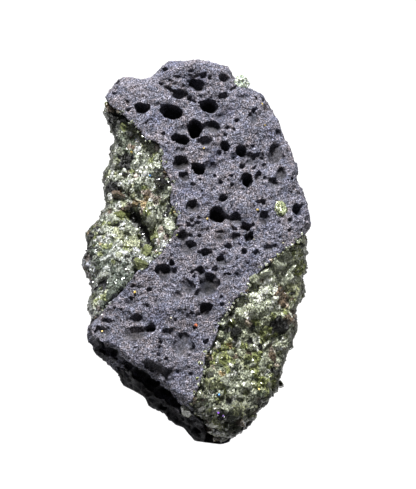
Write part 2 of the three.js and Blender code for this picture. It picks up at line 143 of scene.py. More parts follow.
def border(outline, reach=100 * MM, step=0.5 * MM):
    """Distance from a closed outline, below zero inside it, worked out once on a fine grid."""
    line = np.arange(-reach, reach, step)
    x, y = np.meshgrid(line, line, indexing="ij")
    distance, inside = np.full(x.shape, np.inf), np.zeros(x.shape, bool)
    for (x0, y0), (x1, y1) in zip(outline, np.roll(outline, 1, axis=0)):
        along_x, along_y = x1 - x0, y1 - y0
        share = ((x - x0) * along_x + (y - y0) * along_y) / (along_x**2 + along_y**2)
        share = np.clip(share, 0, 1)
        distance = np.minimum(distance, np.hypot(x - x0 - along_x * share, y - y0 - along_y * share))
        if along_y != 0:
            inside ^= ((y0 > y) != (y1 > y)) & (x < along_x * (y - y0) / along_y + x0)
    signed = np.where(inside, -distance, distance)

    def look_up(a, b):
        i, j = (np.clip((v + reach) / step, 0, len(line) - 1.001) for v in (a, b))
        i0, j0 = i.astype(int), j.astype(int)
        i, j = i - i0, j - j0
        return ((1 - i) * (1 - j) * signed[i0, j0] + i * (1 - j) * signed[i0 + 1, j0]
                + (1 - i) * j * signed[i0, j0 + 1] + i * j * signed[i0 + 1, j0 + 1])

    return look_up


outline_border = border(OUTLINE)
left_border = border(LEFT_REGION)
right_border = border(RIGHT_REGION)
lump_border = border(LUMP_REGION)
wall_border = border(at_height(*WALLS.T)[:, :2])


def smooth(value, start, end):
    """Rises from 0 at start to 1 at end, with soft ends."""
    share = np.clip((value - start) / (end - start), 0, 1)
    return share * share * (3 - 2 * share)


def furrow(a, b, width):
    """How deep in the furrow places of the view lie: 1 along its middle, and 0 well outside."""
    a, b = a - FURROW_START[0], b - FURROW_START[1]
    along = FURROW_END - FURROW_START
    share = np.clip((a * along[0] + b * along[1]) / (along @ along), 0, 1)
    across = np.hypot(a - along[0] * share, b - along[1] * share) / width
    return np.exp(-across * across)


def waves(places, length, start):
    """Gentle lumpiness: waves that run in twelve directions, with about the given length."""
    count, golden_angle, golden_share = 12, 2.39996, 0.618
    total = 0
    for i in range(count):
        turn, rise = golden_angle * i + start, 1 - (2 * i + 1) / count
        flat = math.sqrt(1 - rise * rise)
        along = places @ np.array([flat * math.cos(turn), flat * math.sin(turn), rise])
        step = length * (0.75 + 0.5 * ((i * golden_share) % 1))
        total = total + np.sin(2 * math.pi * along / step + 1.7 * i + start)
    return total / math.sqrt(count)


def rounded_max(first, second, radius):
    """The larger of two distances, with a rounded edge where they meet."""
    near = np.maximum(radius - abs(first - second), 0) / radius
    return np.maximum(first, second) + near * near * radius / 4


def face_height(places, a, b):
    """Height of the best side, with the lump, the two lower nodules and the left one's furrow."""
    left, right = -left_border(a, b), -right_border(a, b)
    lump = -lump_border(a, b)
    return (
        FACE_HEIGHT + FACE_RISE * places[:, 1]
        + LUMP_HEIGHT * (0.2 * smooth(lump, -0.3 * MM, 0.5 * MM) + 0.8 * np.clip(lump / (9 * MM), 0, 1))
        - LEFT_DROP * smooth(left, -0.3 * MM, 2.6 * MM) - LEFT_SLOPE * np.maximum(0, left - 2 * MM)
        - RIGHT_DROP * smooth(right, -0.3 * MM, 2 * MM) - RIGHT_SLOPE * np.maximum(0, right - MM)
        - FURROW_DEPTH * furrow(a, b, FURROW_WIDTH)
    )


def stone(places):
    """About how far points are outside the stone's skin; below zero inside."""
    a, b = on_view(places)
    x, y, z = places.T
    outline = outline_border(a, b)
    lumps = (0.85 * waves(places, 21 * MM, 0.4) + 0.45 * waves(places, 10.5 * MM, 2.1)) * MM
    near_tip = smooth(-b, 36 * MM, 47 * MM)
    dents = np.maximum(0, waves(places, 15 * MM, 5) - 0.3)
    wall = outline + (0.1 - 1.5 * near_tip) * MM + 1.8 * MM * dents
    face = z - face_height(places, a, b) + 0.8 * lumps

    # The sides are lumpy lower down and nearly even at the edge of the best side.
    foot = smooth(-b, 32 * MM, 44 * MM) * smooth(-z, -26 * MM, -6 * MM)
    highest_lump = (0.2 + 2 * smooth(-z, -32 * MM, -25 * MM)) * MM
    side_lumps = np.minimum(np.maximum(lumps, -0.6 * MM), highest_lump)
    sides = wall_border(x, y) + 1.2 * side_lumps - 1.8 * MM * foot

    # Below a wavy belt the flanks draw in toward the underside, less so at the near side.
    near_side = smooth(-b, 22 * MM, 46 * MM) * smooth(-a, -12 * MM, 6 * MM)
    belt = (17 + 3.5 * np.sin(y / (13 * MM)) - 9 * near_side) * MM
    below = 1 - z / belt
    drawn_in = np.where(below > 0, (17 - 10 * near_side) * np.maximum(below, 0) ** 1.6, 10 * below)
    taper = outline + (drawn_in - 2 - 1.3 * near_tip - 1.2 * foot) * MM + 1.1 * lumps

    # The underside is flat round its middle and rises in lumps outside that.
    out = np.maximum(0, np.hypot(x / (19 * MM), y / (34 * MM)) - 1)
    underside = (5 * out * out + 6 * out * smooth(lumps, -MM, MM)) * MM - z
    top = rounded_max(rounded_max(wall, face, FACE_EDGE), sides, SIDE_EDGE)
    blend = (1.5 * np.minimum(1, out * 4) + 1e-6) * MM  # none over the flat part
    return np.maximum(rounded_max(rounded_max(top, taper, FOOT_EDGE), underside, blend), -z)


def way_out(ways, t):
    """Points on ways out of the stone's inside, which start on a flat disc inside it."""
    return MIDDLE + ways * (START_DISC + t[:, None] * [1, 1, 4])


def on_skin(ways):
    """Where ways out cross the stone's skin."""
    inside, outside = np.zeros(len(ways)), np.full(len(ways), MM)
    going = np.arange(len(ways))
    while len(going):
        going = going[stone(way_out(ways[going], outside[going])) < 0]
        inside[going] = outside[going]
        outside[going] += MM
    for _ in range(13):  # halves a step of 1 mm until it is far below a thousandth
        middle = (inside + outside) / 2
        is_in = stone(way_out(ways, middle)) < 0
        inside, outside = np.where(is_in, middle, inside), np.where(is_in, outside, middle)
    return way_out(ways, inside)


def corners(piece):
    """A piece's vertices as an array."""
    flat = np.empty(3 * len(piece.data.vertices))
    piece.data.vertices.foreach_get("co", flat)
    return flat.reshape(-1, 3)


def set_corners(piece, places):
    """Moves a piece's vertices to the given places."""
    piece.data.vertices.foreach_set("co", np.asarray(places, float).ravel())
    piece.data.update()


def added(primitive, **settings):
    """A new primitive, with nothing else selected."""
    bpy.ops.object.select_all(action="DESELECT")
    primitive(**settings)
    return bpy.context.object


basalt = added(bpy.ops.mesh.primitive_ico_sphere_add, subdivisions=7, radius=1)
basalt.name = basalt.data.name = "basalt_block"
set_corners(basalt, on_skin(corners(basalt)))

# ---- Rough skin ----------------------------------------------------------------------------------
# The broken lava is crumbly all over: gentle swells, patches of tiny open bubbles and grains. The
# near side breaks in coarser ledges.


def pick(piece):
    """Makes a piece the only selected one."""
    bpy.ops.object.select_all(action="DESELECT")
    piece.select_set(True)
    bpy.context.view_layer.objects.active = piece


def finish_with(piece, kind, **settings):
    """Adds a modifier to a piece and applies it."""
    pick(piece)
    modifier = piece.modifiers.new(kind, kind)
    for name, value in settings.items():
        setattr(modifier, name, value)
    bpy.ops.object.modifier_apply(modifier=modifier.name)


def clouds(name, size, depth, colored=False):
    """A cloudy unevenness of a given size."""
    texture = bpy.data.textures.new(name, "CLOUDS")
    texture.noise_scale = size
    texture.noise_depth = depth
    texture.cloud_type = "COLOR" if colored else "GRAYSCALE"
    return texture


def weigh(piece, name, weights):
    """A vertex group with the given weights, in eight steps."""
    group = piece.vertex_groups.new(name=name)
    levels = np.round(weights * 8) / 8
    for level in np.unique(levels):
        group.add(np.flatnonzero(levels == level).tolist(), float(level), "REPLACE")


finish_with(basalt, "REMESH", mode="VOXEL", voxel_size=0.3 * MM)
foam = bpy.data.textures.new("foam", "VORONOI")
foam.noise_scale = 1.7 * MM
weigh(basalt, "foamy", np.clip(0.55 + 0.5 * waves(corners(basalt), 15 * MM, 3), 0.15, 1))
finish_with(basalt, "DISPLACE", texture=foam, strength=0.75 * MM, mid_level=0.5, vertex_group="foamy")
finish_with(basalt, "DISPLACE", texture=clouds("swells", 3.6 * MM, 2), strength=1.0 * MM, mid_level=0.6)
finish_with(basalt, "DISPLACE", texture=clouds("crumbs", 0.9 * MM, 1), strength=0.6 * MM, mid_level=0.55)
places = corners(basalt)
a, b = on_view(places)
drop = face_height(places, a, b) - places[:, 2]
weigh(basalt, "near_wall", smooth(drop, 1.5 * MM, 4 * MM) * smooth(-places[:, 1], 14 * MM, 26 * MM)
      * smooth(left_border(a, b), 0, MM) * smooth(right_border(a, b), 0, MM))
finish_with(basalt, "DISPLACE", texture=clouds("ledges", 2.6 * MM, 1), strength=2.6 * MM, mid_level=0.5,
            vertex_group="near_wall")

# ---- Gas pits ------------------------------------------------------------------------------------
# Bubbles in the lava that the broken skin cut open: dark holes, half bowls and shallow dishes. Each is
# given by its mouth on the view: across, up, width and height, in mm. Small ones, placed at random,
# lie between them and on the flanks.
DEEP_PITS = [
    [5.1, 50.1, 3.9, 2.1], [-8.7, 45.4, 4.2, 2.1], [-19.8, 41.1, 4.5, 2.7], [-11.1, 40, 5.7, 3.6],
    [0.1, 41.8, 4.8, 3.3], [-3.9, 34.9, 4.5, 3.9], [-8.4, 31.6, 4.8, 3], [5, 29.8, 2.7, 2.4],
    [10, 28, 3, 2.7], [-3, 23.1, 4.2, 3.3], [11.7, 19.5, 3, 3.6], [4.5, 14.1, 2.7, 1.8],
    [2.8, 9.2, 4.2, 3.6], [11.2, 5.5, 2.7, 2.1], [12.3, 2.5, 2.7, 2.1], [26.6, 10.6, 2.7, 2.4],
    [-0.9, -2.2, 3.3, 1.8], [-17.1, -25, 2.7, 2.1], [-12.8, 52.5, 2.4, 1.5], [-5.1, 52.2, 1.8, 0.9],
    [0.6, 49.9, 1.2, 0.9], [-5.7, 43.9, 1.5, 1.2], [-24, 42.9, 1.8, 0.8], [-24.1, 40.5, 1.8, 0.8],
    [-25.8, 44.2, 1.2, 0.6], [16.2, 26.2, 1.2, 2.1], [22.6, 27, 1.8, 1.5], [8.8, 37.4, 1.5, 1.2],
    [7.8, 34.8, 1.2, 0.9], [14.4, 43.9, 0.9, 1.5], [21, 34, 1.5, 1.5], [4.5, 44.8, 3, 1.5],
    [10.3, 23.6, 1.8, 1.5], [15, 20.8, 1.5, 2.7], [17.1, 19.9, 1.2, 0.9], [7.2, 18, 1.2, 1.2],
    [3.9, 18.8, 1.2, 0.9], [13.4, 6.1, 0.9, 1.2], [15, 12.9, 1.2, 0.9], [16.6, 13, 1.5, 1.5],
    [28.3, 11.7, 1.2, 0.9], [29.5, 7.3, 1.5, 0.9], [19.6, 3.4, 0.9, 0.6], [-3, -2, 1.2, 0.9],
    [6, -0.4, 2.1, 1.5], [0.9, -0.6, 0.9, 0.6], [2.4, -1.3, 1.2, 0.6], [10.9, -1.8, 1.8, 1.5],
    [14.4, -2.1, 1.8, 1.5], [-2.1, -7.9, 1.8, 2.4], [-4.2, -9.6, 0.9, 0.9], [-10.8, -5.5, 1.5, 1.5],
    [-17.7, -13.6, 1.8, 1.2], [4.2, -17.8, 1.8, 0.9], [0.6, -15.9, 0.9, 0.6], [-32.7, -24.9, 1.8, 1.2],
    [-4.5, -31, 1.5, 2.4], [-6, -33.4, 1.5, 0.9], [-22, -31, 1.2, 0.6], [-3.9, -22.6, 0.9, 0.6],
    [-12.6, -41.8, 1.8, 1.5], [-1.0, -10.6, 2.4, 1.8], [0.8, -10.6, 3, 2.2], [2.6, -11.6, 2.2, 2],
    [-12.8, -7.2, 3.4, 2.2], [-6.2, -11.4, 2.8, 1.2],
]
HALF_PITS = [
    [-3.3, 48.1, 5.1, 2.4], [-7.8, 35.1, 3.9, 1.8], [-0.9, 31.3, 3.6, 2.1], [-7.8, 28.6, 3.3, 1.5],
    [12.9, 26.2, 3.3, 2.4], [13.8, 38.8, 2.4, 3], [17.4, 40.9, 2.1, 3.6], [-8.1, 25.3, 5.1, 3],
    [-7.2, 21.1, 3, 2.4], [0.9, 23.8, 4.2, 2.1], [16.8, 8.5, 2.7, 2.7], [-6, -0.4, 4.5, 2.7],
    [-9.3, -14.5, 3.6, 2.1], [-0.6, -19, 3.6, 3], [-22.9, -16.8, 3.6, 1.8], [-21.4, -21.9, 3.3, 1.8],
    [-12, -38.5, 2.7, 2.1], [-1.5, 50.8, 2.4, 1.2], [-15.3, 42, 3.9, 0.9], [2.7, 38.5, 1.5, 1.5],
    [26.2, 17.1, 2.4, 1.5], [8.4, 2.5, 2.4, 1.8], [19.5, 13.9, 3, 0.9], [27.3, 6.4, 2.1, 1.2],
    [8.7, 0.1, 2.1, 1.2], [18, -0.8, 2.4, 1.5], [2.4, -7.2, 2.4, 1.2], [-10.2, -7.9, 1.8, 1.5],
    [-30.3, -22.8, 3, 1.2], [20.4, 28.6, 3.9, 4.5], [21.9, 21.8, 2.7, 2.7], [-4.5, 12, 3.9, 2.4],
    [8.4, 8.2, 3.6, 2.4], [-7.5, 2.8, 2.7, 2.4], [3.9, -4.3, 2.7, 2.1], [-13.2, -7.6, 4.5, 3],
    [0.3, -10.9, 6, 4.2], [-6.3, -11.8, 4.5, 3], [-2.7, -14.8, 2.7, 1.8], [1.2, 35.8, 4.8, 2.7],
]
SHALLOW_PITS = [
    [-9.3, 49.9, 3.9, 1.2], [-0.9, 27.8, 4.2, 1.8], [5.1, 38.5, 3.6, 2.4], [10.8, 44.5, 4.5, 2.4],
    [19.8, 18.1, 3.9, 3.6], [3.9, 2.2, 3.3, 3.6], [5.7, -9.8, 3.6, 2.4], [-14.4, -4.6, 2.7, 1.8],
    [-15, -17.2, 3, 2.1], [-21.9, -26.8, 6.3, 4.2], [-8.1, -30.1, 5.1, 7.2], [-12.3, -26.6, 3.6, 2.1],
    [-31.2, -26.6, 6.6, 3.6], [3.6, 27.1, 2.4, 1.5], [21, 6.4, 1.5, 1.2], [20.1, -0.8, 2.4, 1.5],
    [9.4, -9.3, 1.8, 1.2], [-18.9, -18.6, 2.4, 1.5], [-6.1, -37, 1.5, 0.9],
]
# The trench in the lower left is a row of pits. The crevice under the raised lump and the undercut
# below the edge of the near side are given as lines, and that side has a few hollows of its own.
TRENCH = [
    [-18.1, -35.5, 2.4, 1.7], [-16.7, -36.3, 2.8, 2.1], [-15.2, -37.1, 3, 2.2], [-13.8, -38.1, 2.8, 2],
    [-12.3, -39.2, 2.2, 1.7], [-11.2, -40.1, 1.6, 1.3],
]
CREVICE_LINE = [
    [-15.4, 49.2], [-13.8, 47.8], [-12.3, 47.2], [-11, 46.2], [-7, 45], [-5.8, 43.9], [-3.6, 42.6],
    [-1, 42.6], [3, 43.2], [4.4, 44.7], [6, 45.7], [7.4, 47], [9, 48],
]
UNDERCUT_LINE = [
    [-34.6, -29.8], [-31.6, -30.9], [-29, -32], [-26.4, -34.2], [-24, -36.2], [-21.6, -38],
    [-19, -39.9], [-16.4, -41.7], [-14, -43.6], [-11.8, -45.8], [-9.4, -47.9], [-7, -50], [-4.8, -52.2],
]
NEAR_HOLLOWS = [[-27, -37, 3.4, 2], [-13, -48.6, 3.6, 2], [-8.6, -52.4, 3.6, 2], [-3, -55.5, 3.8, 2]]
# Cracks that join pits: the line, and the spacing, widths and flatness of the mouths along it, in mm.
CRACK_LINES = [
    ([[15.8, 28.5], [14.8, 25.5], [13.7, 22.5]], 0.6, (0.5, 1.2), 1),
    ([[5.4, 9], [6.6, 7.4], [7.4, 5.2], [9, 4]], 0.6, (0.5, 1.1), 1),
    ([[-9.8, 5.6], [-6.5, 6.1], [-4.4, 5.6], [-2, 6.8]], 0.7, (0.5, 1.2), 0.7),
    ([[-4.9, -8.4], [-3.4, -7.6], [-1.6, -6.8]], 0.6, (0.5, 1.2), 0.8),
    ([[12, 38.4], [14.8, 41.4]], 0.7, (0.5, 1.1), 1),
]
SMALL_PITS_ON_FACE, PITS_ELSEWHERE = 260, 230  # at most
SPOTS_TRIED, WAYS_TRIED = 9000, 1500  # to place them
FACE_CORNERS = np.array([[-34, -50], [30, 54]]) * MM  # of the part of the view where small pits may lie
MOUTH_SPREAD = 1.1  # how much wider a bubble is than its mouth
LEAN = 0.25  # how far a bubble may lean to either side
FULL_TURN = 6.3
STRAIGHT_UP = (0, 0, 1)

rough_skin = BVHTree.FromObject(basalt, bpy.context.evaluated_depsgraph_get())


def on_rough_skin(a, b):
    """The points of the rough skin that show at places of the view."""
    starts, aims = behind_view(a, b, 0 * a - 60 * MM), behind_view(a, b, 0 * a)
    hits = [rough_skin.ray_cast(start, aim - start)[0] for start, aim in zip(starts, aims)]
    return np.array([aim if hit is None else hit for hit, aim in zip(hits, aims)])


chance = np.random.default_rng(11)


def along_line(line, spacing, widths, flatness):
    """Mouths in a row along a line, uneven in place and size."""
    line = np.array(line)
    steps = np.append(0, np.cumsum(np.hypot(*np.diff(line, axis=0).T)))
    at = np.arange(0, steps[-1], spacing)
    places = [np.interp(at, steps, way) + chance.uniform(-0.5, 0.5, len(at)) * spacing for way in line.T]
    wide = chance.uniform(*widths, len(at))
    return np.stack([*places, wide, wide * flatness], axis=1).tolist()


UNDERCUT = along_line(UNDERCUT_LINE, 0.9, (2, 4.6), 0.85)
CREVICE = along_line(CREVICE_LINE, 0.5, (0.35, 0.95), 0.6)
CRACKS = [mouth for crack in CRACK_LINES for mouth in along_line(*crack)]
bubble = added(bpy.ops.mesh.primitive_ico_sphere_add, subdivisions=4, radius=1)
bubble_corners = corners(bubble)
bubble_faces = np.array([face.vertices[:] for face in bubble.data.polygons])
bubble_wobble = 1 + 0.09 * waves(bubble_corners, 1.7, 1) + 0.04 * waves(bubble_corners, 0.7, 4)


def bubble_at(place, half_width, half_height, half_depth, lean=0.0, out=STRAIGHT_UP):
    """A slightly uneven bubble with its mouth across a given way out, leaning about that way."""
    spin = Matrix.Rotation(chance.uniform(0, FULL_TURN), 3, Vector(chance.normal(size=3)))
    ball = bubble_corners * bubble_wobble[:, None] @ np.array(spin)
    out = np.array(out)
    axes = np.stack([ACROSS * half_width, np.cross(out, ACROSS) * half_height, out * half_depth])
    turn = np.array(Matrix.Rotation(lean, 3, Vector(out)))
    return ball @ axes @ turn.T + place


def pits(mouths, depth, sunk, out=STRAIGHT_UP, taller=MOUTH_SPREAD):
    """Bubbles behind a list of mouths. The depth is per half mouth, sunk tells how much of that depth
    their middles lie below the skin, and taller how tall they are per mouth, reaching down with it."""
    mouths = MM * np.array(mouths)
    half_sizes = np.minimum(mouths[:, 2], mouths[:, 3]) / 2
    mouths[:, 1] -= mouths[:, 3] * (taller - MOUTH_SPREAD) / 2
    mouths[:, 2:] *= [MOUTH_SPREAD, taller]
    surface = on_rough_skin(mouths[:, 0], mouths[:, 1])
    wide = 1 / math.sqrt(1 - sunk * sunk)
    tall = wide / (np.array(out) @ TOWARD)
    return [
        bubble_at(place - np.array(out) * sunk * depth * size, w / 2 * wide, h / 2 * tall, size * depth,
                  chance.uniform(-LEAN, LEAN), out)
        for place, size, (_, _, w, h) in zip(surface, half_sizes, mouths)
    ]


bubbles = (
    pits(DEEP_PITS, 2.2, 0.15, taller=1.2) + pits(HALF_PITS, 1.5, 0, taller=1.55)
    + pits(SHALLOW_PITS, 1.0, -0.1) + pits(TRENCH, 2.6, 0, taller=1.6) + pits(CREVICE, 4.5, 0.3)
    + pits(UNDERCUT, 2.6, 0.5, TOWARD) + pits(NEAR_HOLLOWS, 1.6, 0.1, TOWARD) + pits(CRACKS, 3, 0.2)
)

# Small pits between them, wherever there is room: half of them holes, and half of them dishes.
known = MM * np.array(DEEP_PITS + HALF_PITS + SHALLOW_PITS + TRENCH + CREVICE + UNDERCUT)
spots = chance.uniform(*FACE_CORNERS, (SPOTS_TRIED, 2))
a, b = spots.T
on_lava = (left_border(a, b) > MM) & (right_border(a, b) > MM) & (outline_border(a, b) < -MM)
small_mouths = []
for a, b in spots[on_lava]:
    size = chance.uniform(0.45, 1.2) ** 2 * MM
    clear = np.hypot(known[:, 0] - a, known[:, 1] - b) - known[:, 2] / 2 - size
    if clear.min() > 0.1 * MM and len(small_mouths) < SMALL_PITS_ON_FACE:
        small_mouths.append([a / MM, b / MM, size / MM, size / MM * 0.8])
bubbles += pits(small_mouths[::2], 1.6, 0.3) + pits(small_mouths[1::2], 1, 0)


def seen(a, b):
    """The points of the stone's skin that show at places of the view, found in small steps."""
    nearest, farthest, step = -45 * MM, 60 * MM, 0.2 * MM
    a, b = np.asarray(a, float), np.asarray(b, float)
    depth, going = np.full(a.shape, nearest), np.arange(len(a))
    while len(going):
        outside = stone(behind_view(a[going], b[going], depth[going])) > 0
        going = going[outside & (depth[going] < farthest)]
        depth[going] += step
    return behind_view(a, b, depth)


# Pits on the flanks, where the camera does not see.
ways = chance.normal(size=(WAYS_TRIED, 3)) * [1, 1, 0.35]
ways /= np.linalg.norm(ways, axis=1)[:, None]
flank = on_skin(ways)
in_front = seen(*on_view(flank))
is_elsewhere = (np.linalg.norm(in_front - flank, axis=1) > 3 * MM) & (flank[:, 2] > 4 * MM)
for place in flank[is_elsewhere][:PITS_ELSEWHERE]:
    half = chance.uniform(0.5, 1.0) ** 2 * 2.4 * MM
    bubbles.append(bubble_at(place, half, half * 0.8, half * 1.1))


def joined(name, shapes):
    """One mesh from many small shapes, each given by its corners and its faces."""
    starts = np.cumsum([0] + [len(points) for points, _ in shapes[:-1]])
    faces = np.concatenate([faces + start for (_, faces), start in zip(shapes, starts)])
    mesh = bpy.data.meshes.new(name)
    mesh.from_pydata(np.concatenate([points for points, _ in shapes]), [], faces)
    piece = bpy.data.objects.new(name, mesh)
    bpy.context.collection.objects.link(piece)
    return piece


pit_cutter = joined("pit_cutter", [(points, bubble_faces) for points in bubbles])
finish_with(pit_cutter, "REMESH", mode="VOXEL", voxel_size=0.22 * MM)
finish_with(basalt, "BOOLEAN", object=pit_cutter, operation="DIFFERENCE", solver="MANIFOLD")
bpy.data.objects.remove(pit_cutter)
bpy.data.objects.remove(bubble)

# ---- Rooms for the nodules -----------------------------------------------------------------------
# Each nodule sits in a socket of the lava. A socket follows the nodule's border on the view and goes
# down to the nodule's floor, with a thin gap all round.
GAP = 0.3 * MM
ROOM_BOTTOM, ROOM_TOP = -5 * MM, 60 * MM


def left_floor(b):
    """Height of the left socket's floor, which rises toward both its ends."""
    return (4 + 22 * abs((b - 10 * MM) / (38 * MM)) ** 3) * MM


def right_floor(b):
    """Height of the right socket's floor, which rises toward both its ends."""
    return (4 + 18 * smooth(b, -22 * MM, 5 * MM) + 9 * smooth(-b, 42 * MM, 60 * MM)) * MM


def grown(outline, by):
    """An outline moved outward."""
    before = outline - np.roll(outline, 1, axis=0)
    after = np.roll(outline, -1, axis=0) - outline
    before, after = (np.stack([v[:, 1], -v[:, 0]], axis=1) for v in (before, after))
    before, after = (v / np.linalg.norm(v, axis=1)[:, None] for v in (before, after))
    area = np.sum(outline[:, 0] * np.roll(outline[:, 1], -1) - outline[:, 1] * np.roll(outline[:, 0], -1))
    out = before + after
    out /= np.linalg.norm(out, axis=1)[:, None]
    reach = by * np.sign(area) / np.maximum(0.5, np.sum(out * after, axis=1))
    return outline + out * reach[:, None]


def extrude_all(by):
    """Extrudes the whole of the active piece up by a length, or down by one below zero."""
    bpy.ops.object.mode_set(mode="EDIT")
    bpy.ops.mesh.select_all(action="SELECT")
    bpy.ops.mesh.extrude_region_move(TRANSFORM_OT_translate={"value": (0, 0, by)})
    bpy.ops.object.mode_set(mode="OBJECT")


def face_outward():
    """Turns all faces of the active piece outward."""
    bpy.ops.object.mode_set(mode="EDIT")
    bpy.ops.mesh.select_all(action="SELECT")
    bpy.ops.mesh.normals_make_consistent(inside=False)
    bpy.ops.object.mode_set(mode="OBJECT")


def room(name, region, floor):
    """A block that follows a region of the view, from above the stone down to its floor."""
    outline = grown(region, GAP)
    block = added(bpy.ops.mesh.primitive_circle_add, vertices=len(outline), fill_type="NGON")
    block.name = name
    set_corners(block, at_height(*outline.T, ROOM_BOTTOM))
    extrude_all(ROOM_TOP - ROOM_BOTTOM)
    places = corners(block)
    upper = places[:, 2] > (ROOM_BOTTOM + ROOM_TOP) / 2
    places[upper] = at_height(*outline.T, ROOM_TOP)
    set_corners(block, places)
    face_outward()

    ground = added(bpy.ops.mesh.primitive_grid_add, x_subdivisions=1, y_subdivisions=50, size=200 * MM)
    places = corners(ground)
    b = 0.91 * places[:, 1] - 2 * MM  # about where this length of the ground lies on the view
    places[:, 2] = np.minimum(50 * MM, floor(b)) - 2 * GAP
    set_corners(ground, places)
    extrude_all(-100 * MM)
    face_outward()
    finish_with(block, "BOOLEAN", object=ground, operation="DIFFERENCE", solver="MANIFOLD")
    bpy.data.objects.remove(ground)
    return block


for side, region, floor in (("left", LEFT_REGION, left_floor), ("right", RIGHT_REGION, right_floor)):
    socket = room(side + "_room", region, floor)
    finish_with(basalt, "BOOLEAN", object=socket, operation="DIFFERENCE", solver="MANIFOLD")
    bpy.data.objects.remove(socket)

# ---- Lava ----------------------------------------------------------------------------------------
# The whole block of lava, dark grey with a violet tinge, with uneven pits and broken rims. The best
# side and the near side keep the finest faces. Painted shade: the lava is painted darker deep in the
# pits and nearly black on the near side.
TARGET_TRIANGLES = 190000


def held_in(places, slack):
    """Points outside the outline on the view moved back to it, but for the given slack."""
    a, b = on_view(places)
    out = np.maximum(0, outline_border(a, b) - slack)[:, None]
    step = 0.6 * MM
    toward_a = outline_border(a + step, b) - outline_border(a - step, b)
    toward_b = outline_border(a, b + step) - outline_border(a, b - step)
    return places - out * (toward_a[:, None] * ACROSS + toward_b[:, None] * UP) / (2 * step)


def store(piece, name, values):
    """Keeps a number for each vertex of a piece, for its material to read."""
    piece.data.attributes.new(name, "FLOAT", "POINT").data.foreach_set("value", values)


finish_with(basalt, "REMESH", mode="VOXEL", voxel_size=0.26 * MM)
finish_with(basalt, "DISPLACE", texture=clouds("uneven_pits", 2.2 * MM, 1, True), direction="RGB_TO_XYZ",
            strength=0.6 * MM, mid_level=0.5)
finish_with(basalt, "DISPLACE", texture=clouds("broken_rims", 0.8 * MM, 1), strength=0.4 * MM, mid_level=0.5)
places = held_in(corners(basalt), 0.5 * MM)
places[:, 2] = np.maximum(places[:, 2], 0)
set_corners(basalt, places)

# The sides that are seen first are thinned least.
on_face = smooth(places[:, 2], 24 * MM, 31 * MM)
near_wall = smooth(-places[:, 1], 18 * MM, 26 * MM) * smooth(places[:, 2], 3 * MM, 8 * MM)
on_face = np.maximum(on_face, 0.8 * near_wall) * smooth(-stone(places), 9 * MM, 4 * MM)
weigh(basalt, "fine", 1 - 0.6 * on_face)
triangles = sum(len(face.vertices) - 2 for face in basalt.data.polygons)
finish_with(basalt, "DECIMATE", decimate_type="COLLAPSE", ratio=TARGET_TRIANGLES / triangles,
            vertex_group="fine", vertex_group_factor=1.0)

places = corners(basalt)
inward = np.array([rough_skin.find_nearest(place)[3] for place in places])
drop = face_height(places, *on_view(places)) - places[:, 2]
to_wall = wall_border(places[:, 0], places[:, 1])
# Depth below the skin, which the painted shade in the pits reads.
store(basalt, "depth", np.clip(-stone(places) / (3.5 * MM), 0, 1))
store(basalt, "in_pit", smooth(inward, 0.35 * MM, 0.9 * MM))
# Painted shade: below the edge of the best side, the near side is marked to be painted nearly black.
store(basalt, "near_side_shade", smooth(drop, 1.2 * MM, 4 * MM) * smooth(-places[:, 1], 14 * MM, 26 * MM)
      * smooth(to_wall, -1.3 * MM, -0.2 * MM))
set_corners(basalt, places + SHIFT)
pick(basalt)
bpy.ops.object.shade_smooth_by_angle(angle=math.radians(60))


def add_node(tree, kind, **inputs):
    """Adds a shader node and sets its inputs by name."""
    node = tree.nodes.new("ShaderNode" + kind)
    for name, value in inputs.items():
        node.inputs[name.replace("_", " ")].default_value = value
    return node


def stored(tree, name):
    """A node that reads what is kept for each vertex under a name."""
    node = tree.nodes.new("ShaderNodeAttribute")
    node.attribute_name = name
    return node


def grey(level):
    """A plain grey."""
    return level, level, level


def ramp(tree, source, stops):
    """Colours along a value: (place, (red, green, blue)) pairs."""
    node = tree.nodes.new("ShaderNodeValToRGB")
    while len(node.color_ramp.elements) < len(stops):
        node.color_ramp.elements.new(0.5)
    for element, (place, colour) in zip(node.color_ramp.elements, stops):
        element.position = place
        element.color = (*colour, 1)
    tree.links.new(source, node.inputs["Fac"])
    return node.outputs["Color"]


def mix(tree, factor, first, second, blend="MIX"):
    """Mixes two colours by a factor, which may be a number or an output."""
    node = tree.nodes.new("ShaderNodeMix")
    node.data_type = "RGBA"
    node.blend_type = blend
    for socket, value in zip((node.inputs[0], node.inputs[6], node.inputs[7]), (factor, first, second)):
        if isinstance(value, bpy.types.NodeSocket):
            tree.links.new(value, socket)
        else:
            socket.default_value = value if isinstance(value, (int, float)) else (*value, 1)
    return node.outputs[2]


def new_material(name, **inputs):
    """A material with its main shader's plain values, and the tree to add to."""
    material = bpy.data.materials.new(name)
    material.use_nodes = True
    shader = material.node_tree.nodes["Principled BSDF"]
    for key, value in inputs.items():
        shader.inputs[key.replace("_", " ")].default_value = value
    return material, material.node_tree, shader


lava, tree, shader = new_material("lava", Roughness=0.7, IOR=1.5, Specular_IOR_Level=0.2)
links = tree.links
coordinates = tree.nodes.new("ShaderNodeTexCoord").outputs["Object"]
grains = add_node(tree, "TexVoronoi", Scale=1200, Randomness=1)
fine_noise = add_node(tree, "TexNoise", Scale=2500, Detail=3, Roughness=0.65)
broad_noise = add_node(tree, "TexNoise", Scale=160, Detail=4, Roughness=0.6)
for node in (grains, fine_noise, broad_noise):
    links.new(coordinates, node.inputs["Vector"])
speckle = ramp(tree, fine_noise.outputs["Fac"], [
    (0.32, (0.003, 0.003, 0.004)), (0.42, (0.038, 0.038, 0.046)), (0.51, (0.14, 0.138, 0.166)),
    (0.6, (0.335, 0.33, 0.395)), (0.72, (0.8, 0.79, 0.9)),
])
crystals = ramp(tree, grains.outputs["Color"], [
    (0.0, (0.42, 0.36, 0.34)), (0.35, (0.72, 0.76, 0.86)), (0.65, (0.95, 0.84, 0.8)), (1.0, (1.3, 1.36, 1.5)),
])
colour = mix(tree, 0.8, speckle, crystals, "MULTIPLY")
